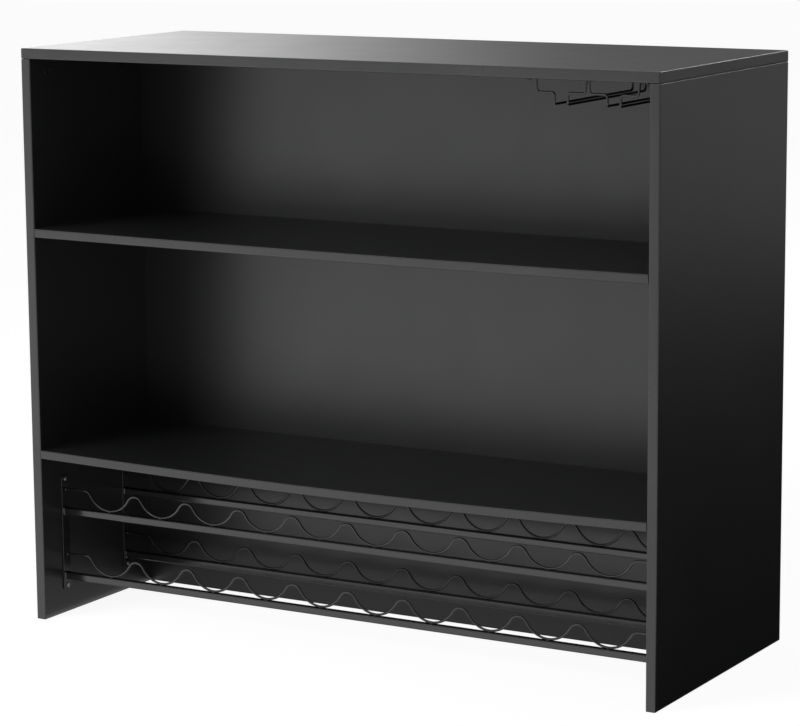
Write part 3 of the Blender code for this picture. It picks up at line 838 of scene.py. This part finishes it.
class BARCABINET_OT_rails(Operator):
    """Build one rack rail with welded ends and copy it to its four places"""

    bl_idname = "barcabinet.rails"
    bl_label = "Rack rails"

    def execute(self, context):
        settings = context.scene.bar_cabinet_rack
        size = node_size("lower_front_rail")
        weld = settings.weld
        pattern = open_block("rack_rail", -size / 2, size / 2)
        wear_finish(pattern, wire_coat())
        pick("EDGE", lengthwise(X))
        round_edges(settings.rail_corner, RAIL_CORNER_STEPS)
        for sign in SIDES.values():
            end = sign * size.x / 2
            for setback in (weld, weld / 2):
                slice_piece((end - sign * setback, 0, 0), ALONG_X)
            for setback, flare in ((weld / 2, weld / 4), (0.0, weld)):
                station = end - sign * setback
                wider = 1 + 2 * flare / size.z
                pick("VERT", lambda point, normal, x=station: abs(point.x - x) < TOUCH)
                scale_picked((1, wider, wider))
        shade(pattern)
        names = {
            f"{tier}_{row}_rail": f"{row}_{tier}_rack_tube" for tier in TIERS for row in ROWS
        }
        fit_copies(pattern, names)
        return {"FINISHED"}


class BARCABINET_OT_bottle_wires(Operator):
    """Bend one wave wire with its welds and copy it to its four rails"""

    bl_idname = "barcabinet.bottle_wires"
    bl_label = "Bottle wires"

    def execute(self, context):
        settings = context.scene.bar_cabinet_rack
        size = node_size("lower_front_bottle_wire")
        radius = size.y / 2
        depth = size.z - 2 * radius
        high, low = depth / 2, -depth / 2
        pitch, crest = settings.bottle_pitch, settings.crest_radius
        count = int((size.x - 2 * settings.shortest_end) / pitch)
        first_crest = -count / 2 * pitch
        troughs = [first_crest + (index + 0.5) * pitch for index in range(count)]
        swing = 2 * math.atan(depth / (pitch / 2))
        cradle = pitch / 2 / math.sin(swing) - crest
        start = Vector((-size.x / 2, 0, high))
        wire = open_ring("bottle_wave", start, ALONG_X, radius)
        wear_finish(wire, wire_coat())
        draw_on(Vector((first_crest - start.x, 0, 0)))
        bend_on(Vector((first_crest, 0, high - crest)), ALONG_Y, swing, HALF_CREST_STEPS)
        for x in troughs:
            bend_on(Vector((x, 0, low + cradle)), ALONG_Y, -2 * swing, CRADLE_STEPS)
            halves = 1 if x == troughs[-1] else 2
            crest_under = Vector((x + pitch / 2, 0, high - crest))
            bend_on(crest_under, ALONG_Y, halves * swing, halves * HALF_CREST_STEPS)
        draw_on(Vector((size.x / 2 - (first_crest + count * pitch), 0, 0)))
        close_wire()
        shade(wire)
        welds = []
        bead = self.shape_weld(settings.bead_length, BEAD_SHARES, BEAD_UPPER_SHARES)
        for index, x in enumerate(troughs):
            welds.append(copy_piece(bead, f"bead_{index}", (x, 0, low - radius)))
        discard(bead)
        nugget = self.shape_weld(settings.nugget, NUGGET_SHARES, NUGGET_UPPER_SHARES)
        end = (size.x - NUGGET_SHARES[X] * settings.nugget) / 2
        for side, sign in SIDES.items():
            welds.append(copy_piece(nugget, f"{side}_nugget", (sign * end, 0, high)))
        discard(nugget)
        weld_together(wire, *welds)
        names = {
            f"{tier}_{row}_bottle_wire": f"{row}_{tier}_bottle_wave"
            for tier in TIERS
            for row in ROWS
        }
        fit_copies(wire, names)
        return {"FINISHED"}

    @staticmethod
    def shape_weld(length, shares, upper_shares):
        """A blob of weld pressed to shares of its length, its upper half a little further."""
        choose()
        bpy.ops.mesh.primitive_uv_sphere_add(
            segments=WELD_SEGMENTS, ring_count=WELD_RINGS, radius=length / 2
        )
        weld = open_piece("weld")
        pick_all()
        scale_picked(shares)
        pick("VERT", lambda point, normal: point.z > 0)
        scale_picked(upper_shares)
        turn_outward()
        wear_finish(weld, wire_coat())
        shade(weld)
        return weld


def bent_wire(name, corners, bend_radius, radius):
    """A round wire through corners: straight runs drawn on, corners bent round."""
    heading = (corners[1] - corners[0]).normalized()
    here = corners[0]
    wire = open_ring(name, here, heading, radius)
    for corner, after in zip(corners[1:-1], corners[2:]):
        leaving = (after - corner).normalized()
        angle = heading.angle(leaving)
        trim = bend_radius * math.tan(angle / 2)
        start = corner - heading * trim
        draw_on(start - here)
        toward = (leaving - heading * leaving.dot(heading)).normalized()
        axis = heading.cross(leaving).normalized()
        bend_on(start + toward * bend_radius, axis, angle, BEND_STEPS)
        here = corner + leaving * trim
        heading = leaving
    draw_on(corners[-1] - here)
    close_wire()
    return wire


class BARCABINET_OT_stemware_hangers(Operator):
    """Bend the wires of the stemware rack and weld them to their screwed feet"""

    bl_idname = "barcabinet.stemware_hangers"
    bl_label = "Stemware hangers"

    def execute(self, context):
        settings = context.scene.bar_cabinet_stemware
        radius = node_size("lower_front_bottle_wire").y / 2
        middle_x = node_middle("middle_stemware_hanger").x
        low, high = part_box("left_stemware_hanger")
        half_foot = settings.foot_width / 2
        ends = {"front": low.y + half_foot, "rear": high.y - half_foot}
        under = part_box("top_panel")[0].z
        foot_z = under - CLEARANCE - settings.foot_thickness / 2
        shoulder_z = under - settings.shoulder_drop
        rail_z = low.z + radius
        inner = (settings.channel_pitch - settings.slot) / 2
        outer = (settings.channel_pitch + settings.slot) / 2
        near = settings.middle_spacing / 2 + settings.splay
        far = outer + settings.shoulder
        runs = {
            "left": [(-far, -outer)],
            "middle": [(-near, -inner), (near, inner)],
            "right": [(far, outer)],
        }
        foot = self.shape_foot(settings, middle_x - far - settings.splay)
        for side, wires in runs.items():
            parts, feet = [], []
            for index, (riser, rail) in enumerate(wires):
                riser_x, rail_x = middle_x + riser, middle_x + rail
                feet.append(riser_x + math.copysign(settings.splay, riser - rail))
                xs = feet[-1], riser_x, rail_x, rail_x
                bends = list(zip(xs, (foot_z, shoulder_z, shoulder_z, rail_z)))
                corners = [Vector((x, ends["front"], z)) for x, z in bends]
                corners += [Vector((x, ends["rear"], z)) for x, z in reversed(bends)]
                wire = bent_wire(f"{side}_stem_wire_{index}", corners, settings.bend_radius, radius)
                wear_finish(wire, wire_coat())
                shade(wire)
                parts.append(wire)
            foot_x = sum(feet) / len(feet)
            for end, y in ends.items():
                screw = node_middle(f"{side}_{end}_hanger_screw")
                along = Vector((screw.x - foot_x, screw.y - y, 0))
                place = Vector((foot_x, y, foot_z)) + along / 2
                turn = Euler((0, 0, math.atan2(along.y, along.x)))
                parts.append(copy_piece(foot, f"{side}_{end}_foot", place, turn))
            hanger = weld_together(*parts)
            hanger.name = hanger.data.name = side + "_stem_hanger"
            fit_on_cabinet(hanger, "black_wire", side + "_stemware_hanger")
        discard(foot)
        return {"FINISHED"}

    @staticmethod
    def shape_foot(settings, foot_x):
        """A stamped foot with round ends that reaches from the left riser to its screw."""
        reach = abs(node_middle("left_front_hanger_screw").x - foot_x)
        width = settings.foot_width
        size = Vector((reach + width, width, settings.foot_thickness))
        foot = open_block("stem_foot", -size / 2, size / 2)
        wear_finish(foot, wire_coat())
        pick("EDGE", lengthwise(Z))
        round_edges(width / 2 - CLEARANCE, FOOT_END_STEPS)
        pick("EDGE", crosswise(Z))
        round_edges(settings.foot_burr, FOOT_BURR_STEPS)
        shade(foot)
        return foot


class BARCABINET_OT_screws(Operator):
    """Model one pan head screw and copy it, bright on the strips and black on the hangers"""

    bl_idname = "barcabinet.screws"
    bl_label = "Screws"

    def execute(self, context):
        pattern = self.shape_screw(context.scene.bar_cabinet_fittings)
        places = []
        for side, sign in SIDES.items():
            for row in ROWS:
                for tier in TIERS:
                    node = f"{row}_{side}_{tier}_strip_screw"
                    name = f"{side}_{row}_{tier}_rack_screw"
                    places.append((node, name, -sign * ALONG_X, "bright_screw"))
        for side in HANGERS:
            for row in ROWS:
                node, name = f"{side}_{row}_hanger_screw", f"{side}_{row}_stem_screw"
                places.append((node, name, -ALONG_Z, "black_wire"))
        for index, (node, name, facing, slot) in enumerate(places):
            spin = Euler((0, 0, SCREW_TURN * index)).to_quaternion()
            turn = facing_turn(facing) @ spin
            screw = copy_piece(pattern, name, face_middle(node, facing), turn.to_euler())
            if slot == "black_wire":
                wear_finish(screw, wire_coat())
            fit_on_cabinet(screw, slot, node)
        discard(pattern)
        return {"FINISHED"}

    @staticmethod
    def shape_recess(settings):
        """Two crossed cutters for a recess at the origin, narrower at its foot."""
        length, width = settings.recess_length, settings.recess_width
        half = Vector((length / 2, width / 2, settings.recess_depth))
        arms = []
        for index in range(2):
            arm = open_block(f"screw_recess_{index}", -half, half)
            pick("VERT", lambda point, normal: point.z < 0)
            scale_picked(RECESS_FOOT_SHARES)
            leave_edit_mode()
            arm.rotation_euler.z = index * QUARTER_TURN
            settle()
            arms.append(arm)
        return arms

    @classmethod
    def shape_screw(cls, settings):
        """A screw whose crown is at the origin and faces up."""
        radius = settings.head_diameter / 2
        screw = open_disc("pan_head_screw", radius, settings.head_height, HEAD_SIDES)
        zinc = zinc_finish("bright_zinc", settings.screw_colour, grain=0.0008, low=0.24, high=0.38)
        wear_finish(screw, zinc)
        pick("EDGE", lambda point, along: point.z > -TOUCH and abs(along.z) < SQUARE)
        round_edges(settings.head_round, HEAD_STEPS)
        pick("FACE", lambda point, normal: normal.z < -PARALLEL)
        bpy.ops.mesh.inset(thickness=radius - settings.shank_diameter / 2)
        draw_on(Vector((0, 0, -settings.shank_length)))
        draw_on(Vector((0, 0, -settings.point_length)))
        scale_picked(POINT_SHARES)
        leave_edit_mode()
        for arm in cls.shape_recess(settings):
            cut_out(screw, arm)
        shade(screw)
        return screw


class BARCABINET_OT_cover_caps(Operator):
    """Mould one cover cap and copy it over every cam"""

    bl_idname = "barcabinet.cover_caps"
    bl_label = "Cover caps"

    def execute(self, context):
        settings = context.scene.bar_cabinet_fittings
        boards = context.scene.bar_cabinet_boards
        pattern = self.shape_cap(settings)
        for side, sign in SIDES.items():
            for row in ROWS:
                under_top = node_middle(f"top_cam_{row}_{side}")
                under_top.x = sign * (inner_face_x() - settings.cap_height)
                under_shelf = node_middle(f"shelf_cam_{row}_{side}")
                under_shelf.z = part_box("lower_shelf")[0].z - settings.cap_height
                under_shelf.z -= boards.lower_sag * sag_share(under_shelf.x, under_shelf.y)
                caps = {"top": (under_top, -sign * ALONG_X), "shelf": (under_shelf, -ALONG_Z)}
                for board, (place, facing) in caps.items():
                    turn = facing_turn(facing).to_euler()
                    cap = copy_piece(pattern, f"{side}_{row}_{board}_cap", place, turn)
                    fit_on_cabinet(cap, "black_board")
        discard(pattern)
        return {"FINISHED"}

    @staticmethod
    def shape_cap(settings):
        """A cap whose rim is at the origin and faces up, with a lower face and a soft edge."""
        height, diameter = settings.cap_height, settings.cap_diameter
        cap = open_disc("cover_cap", diameter / 2, height, CAP_SIDES)
        wear_finish(cap, cap_finish("black_cap_plastic", settings.cap_colour))
        pick("FACE", lambda point, normal: normal.z > PARALLEL)
        bpy.ops.mesh.inset(thickness=settings.cap_rim)
        bpy.ops.mesh.inset(thickness=height * CAP_DISH)
        bpy.ops.transform.translate(value=(0, 0, -height * CAP_DISH))
        edge = diameter * CAP_EDGE
        pick("EDGE", lambda point, along: point.z > -TOUCH and point.xy.length > edge)
        round_edges(height * CAP_ROUND, CAP_STEPS)
        shade(cap)
        return cap


class BARCABINET_OT_hidden_fittings(Operator):
    """Finish the cams, bolts and dowels that stay as they were packed inside the boards"""

    bl_idname = "barcabinet.hidden_fittings"
    bl_label = "Hidden fittings"

    def execute(self, context):
        settings = context.scene.bar_cabinet_fittings
        zinc = zinc_finish("cast_zinc", settings.zinc_colour, grain=0.0015, low=0.38, high=0.55)
        beech = beech_finish("beech", settings.beech_colour)
        finishes = (
            (("top_cam", "top_bolt", "shelf_cam", "shelf_bolt"), zinc),
            (("shelf_dowel", "guest_dowel"), beech),
        )
        for name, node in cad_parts.items():
            for starts, finish in finishes:
                if name.startswith(starts):
                    for slot in node.material_slots:
                        slot.material = finish
        return {"FINISHED"}


def seen_ray(tree):
    """One where a ray comes from the camera, a reflection or clear glass, and nought elsewhere."""
    path = add_node(tree, "ShaderNodeLightPath")
    rays = path.outputs["Is Camera Ray"]
    for name in ("Is Glossy Ray", "Is Transmission Ray"):
        inputs = {0: rays, 1: path.outputs[name]}
        rays = add_node(tree, "ShaderNodeMath", inputs, "MAXIMUM").outputs["Value"]
    return rays


def show_to_rays(tree, hidden, seen, output):
    """Shows one shader to seen rays and another to the rest."""
    inputs = {"Fac": seen_ray(tree), 1: hidden, 2: seen}
    mix = add_node(tree, "ShaderNodeMixShader", inputs)
    add_node(tree, output, {"Surface": mix.outputs["Shader"]})


def floor_finish(settings):
    """Pale floor. Seen rays get a white glow with some of its lit colour, for the shadow."""
    finish = bpy.data.materials.new("pale_floor")
    tree = empty_tree(finish)
    colour = settings.floor_colour
    dim_colour = tinted(colour, settings.floor_shadow)
    lit = add_node(tree, "ShaderNodeBsdfDiffuse", {"Color": (*colour, 1.0)})
    dimmed = add_node(tree, "ShaderNodeBsdfDiffuse", {"Color": (*dim_colour, 1.0)})
    white = add_node(tree, "ShaderNodeEmission", {"Strength": settings.floor_white})
    inputs = {0: dimmed.outputs["BSDF"], 1: white.outputs["Emission"]}
    seen = add_node(tree, "ShaderNodeAddShader", inputs).outputs["Shader"]
    show_to_rays(tree, lit.outputs["BSDF"], seen, "ShaderNodeOutputMaterial")
    return finish


def studio_world(settings):
    """Plain white to seen rays, a softer ambient light for the rest."""
    world = bpy.data.worlds.new("studio")
    tree = empty_tree(world)
    ambient, white = (
        add_node(tree, "ShaderNodeBackground", {"Color": WHITE, "Strength": strength})
        for strength in (settings.ambient, 1.0)
    )
    backgrounds = ambient.outputs["Background"], white.outputs["Background"]
    show_to_rays(tree, *backgrounds, "ShaderNodeOutputWorld")
    return world


def soft_lamp(name, place, aim, size, power):
    """A soft rectangular lamp turned to a point, unseen by the camera."""
    lamp = bpy.data.lights.new(name, "AREA")
    lamp.shape = "RECTANGLE"
    lamp.size, lamp.size_y = size
    lamp.energy = power
    holder = bpy.data.objects.new(name, lamp)
    bpy.context.scene.collection.objects.link(holder)
    holder.location = place
    holder.rotation_euler = (Vector(aim) - Vector(place)).to_track_quat("-Z", "Y").to_euler()
    holder.visible_camera = False
    return holder


@finish_maker
def painted_reflection_finish(tree, shader, place, glow, painted_sheen_glow):
    """Painted light or shade seen only in reflections: dull dark cloth with an even glow, or a painted
    sheen fading along X.
    """
    weave = clouds(tree, place, size=0.004)
    colour_by(tree, shader, weave, CLOTH_DARK, CLOTH_LIGHT)
    shader.inputs["Roughness"].default_value = 1.0
    shader.inputs["Specular IOR Level"].default_value = 0.0
    shader.inputs["Emission Color"].default_value = WHITE
    shader.inputs["Emission Strength"].default_value = glow
    # painted sheen: the glow fades along X from its full end
    if painted_sheen_glow != glow:
        axes = add_node(tree, "ShaderNodeSeparateXYZ", {"Vector": place})
        painted_sheen_share = ranged(tree, axes.outputs["X"], 1.0, 0.0, PAINTED_SHEEN_FULL_X, PAINTED_SHEEN_GONE_X)
        inputs = {0: painted_sheen_share, 1: PAINTED_SHEEN_FADE_POWER}
        painted_sheen_eased = add_node(tree, "ShaderNodeMath", inputs, "POWER").outputs["Value"]
        strength = multiplied(tree, painted_sheen_eased, painted_sheen_glow - glow, glow)
        tree.links.new(strength, shader.inputs["Emission Strength"])


def hang_painted_reflection_card(name, low, high, cloth):
    """A flat card between two corners, lying or upright, seen only in reflections, where it paints light
    or shade.
    """
    size = high - low
    upright = size.z > 0
    choose()
    bpy.ops.mesh.primitive_plane_add(
        size=1.0, location=(low + high) / 2, rotation=(QUARTER_TURN * upright, 0, 0)
    )
    card = bpy.context.object
    card.scale = (size.x, size.z if upright else size.y, 1.0)
    open_piece(name)
    bpy.ops.mesh.subdivide(number_cuts=CARD_CUTS)
    leave_edit_mode()
    wear_finish(card, cloth)
    # painted light and shade: the card shows only in reflections, lights nothing and casts no shadow
    card.visible_camera = card.visible_diffuse = False
    card.visible_transmission = card.visible_shadow = False


class BARCABINET_OT_stage(Operator):
    """Lay the studio floor, hang the lamps and the cards that paint light and shade into reflections,
    and set up the camera
    """

    bl_idname = "barcabinet.stage"
    bl_label = "Stage"

    def execute(self, context):
        settings = context.scene.bar_cabinet_stage
        choose()
        bpy.ops.mesh.primitive_plane_add(size=settings.floor_size, location=(0, 0, -CLEARANCE))
        floor = open_piece("studio_floor")
        bpy.ops.mesh.subdivide(number_cuts=FLOOR_CUTS)
        leave_edit_mode()
        wear_finish(floor, floor_finish(settings))
        context.scene.world = studio_world(settings)
        key = soft_lamp(
            "key_lamp",
            place=(-2.6, -4.0, 1.7),
            aim=(0, 0, 0.5),
            size=(2.2, 1.6),
            power=settings.key_power,
        )
        key.visible_glossy = False
        soft_lamp(
            "edge_lamp",
            place=(1.45, 5.4, 3.4),
            aim=(0.6, 0, 1.0),
            size=(1.6, 1.0),
            power=settings.edge_power,
        )
        # the counter top's painted sheen comes from this glow, not from a lamp
        clear = {PAINTED_SHEEN_CLOTH: settings.sheen}
        painted_reflections = {
            name: painted_reflection_finish(name, glow, clear.get(name, glow)) for name, glow in PAINTED_REFLECTION_GLOWS.items()
        }
        for name, (low, high, cloth) in PAINTED_REFLECTION_CARDS.items():
            hang_painted_reflection_card(name, Vector(low), Vector(high), painted_reflections[cloth])
        eye = bpy.data.cameras.new("photo_camera")
        eye.lens = settings.lens
        eye.clip_end = CAMERA_REACH
        camera = bpy.data.objects.new("photo_camera", eye)
        context.scene.collection.objects.link(camera)
        camera.location = settings.camera_place
        camera.rotation_euler = settings.camera_turn
        context.scene.camera = camera
        context.scene.view_settings.view_transform = "Standard"
        return {"FINISHED"}


class BARCABINET_PT_pieces(Panel):
    """The cabinet's pieces and their sizes in the 3D view's sidebar"""

    bl_idname = "BARCABINET_PT_pieces"
    bl_label = "Bar Cabinet"
    bl_space_type = "VIEW_3D"
    bl_region_type = "UI"
    bl_category = "Bar Cabinet"

    def draw(self, context):
        for operator in OPERATORS:
            self.layout.operator(operator.bl_idname)
        for pointer, group in SETTINGS.items():
            box = self.layout.box()
            box.label(text=group.__doc__)
            for name in group.__annotations__:
                label = name.replace("_", " ").capitalize()
                box.prop(getattr(context.scene, pointer), name, text=label)


SETTINGS = {
    "bar_cabinet_boards": BoardSettings,
    "bar_cabinet_rack": RackSettings,
    "bar_cabinet_stemware": StemwareSettings,
    "bar_cabinet_fittings": FittingSettings,
    "bar_cabinet_stage": StageSettings,
}
OPERATORS = (
    BARCABINET_OT_boards,
    BARCABINET_OT_shelves,
    BARCABINET_OT_rack_strips,
    BARCABINET_OT_rails,
    BARCABINET_OT_bottle_wires,
    BARCABINET_OT_stemware_hangers,
    BARCABINET_OT_screws,
    BARCABINET_OT_cover_caps,
    BARCABINET_OT_hidden_fittings,
    BARCABINET_OT_stage,
)


def register():
    """Registers the settings, the operators and the panel."""
    for pointer, group in SETTINGS.items():
        bpy.utils.register_class(group)
        setattr(bpy.types.Scene, pointer, PointerProperty(type=group))
    for made in (*OPERATORS, BARCABINET_PT_pieces):
        bpy.utils.register_class(made)


def unregister():
    """Takes the panel, the operators and the settings away again."""
    for made in reversed((*OPERATORS, BARCABINET_PT_pieces)):
        bpy.utils.unregister_class(made)
    for pointer, group in reversed(SETTINGS.items()):
        delattr(bpy.types.Scene, pointer)
        bpy.utils.unregister_class(group)


def main():
    """Builds the cabinet piece by piece."""
    register()
    bpy.ops.barcabinet.boards()
    bpy.ops.barcabinet.shelves()
    bpy.ops.barcabinet.rack_strips()
    bpy.ops.barcabinet.rails()
    bpy.ops.barcabinet.bottle_wires()
    bpy.ops.barcabinet.stemware_hangers()
    bpy.ops.barcabinet.screws()
    bpy.ops.barcabinet.cover_caps()
    bpy.ops.barcabinet.hidden_fittings()
    bpy.ops.barcabinet.stage()


if __name__ == "__main__":
    main()
